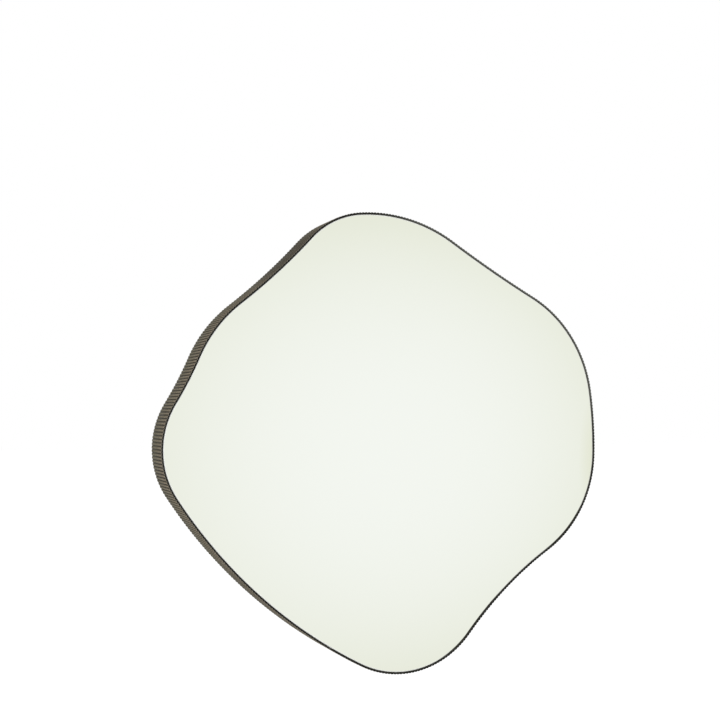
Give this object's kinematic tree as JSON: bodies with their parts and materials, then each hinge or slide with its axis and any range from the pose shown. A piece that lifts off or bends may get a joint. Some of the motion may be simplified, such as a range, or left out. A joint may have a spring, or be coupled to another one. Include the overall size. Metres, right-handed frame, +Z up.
{
  "type": "irregular shaped mirror",
  "caption": "Wall mirror with an irregular pebble outline, set in a deep band of fine ribs and hung on keyhole plates in its closed back.",
  "frame": {"origin": "midway between the entry holes of the two keyhole plates, on the plates' back faces", "axes": "+X to the right seen from the front, +Y from the glass to the wall, +Z up"},
  "size_m": [0.5747, 0.057, 0.5651],
  "materials": {
    "band": "satin taupe lacquer",
    "strip_metal": "mill finish",
    "mirror": "silvered",
    "film": "matte",
    "foam_tape": "closed-cell foam",
    "fibreboard": "dark sealed fibreboard",
    "block_wood": "planed softwood",
    "plate_steel": "zinc plated",
    "screw_steel": "zinc plated",
    "bumper_rubber": "matte"
  },
  "bodies": {
    "root": {"ribbed_band": "band", "band_splice": "strip_metal", "mirror_glass": "mirror", "backing_film": "film", "mounting_tapes": "foam_tape", "front_board": "fibreboard", "rear_board": "fibreboard", "keyhole_plate_left": "plate_steel", "keyhole_plate_right": "plate_steel", "keyhole_plate_screws": "screw_steel", "rear_board_screws": "screw_steel", "spacer_block_1": "block_wood", "spacer_block_2": "block_wood", "spacer_block_3": "block_wood", "spacer_block_4": "block_wood", "spacer_block_5": "block_wood", "spacer_block_6": "block_wood", "wall_bumper_1": "bumper_rubber", "wall_bumper_2": "bumper_rubber", "wall_bumper_3": "bumper_rubber", "wall_bumper_4": "bumper_rubber"}
  },
  "joints": []
}
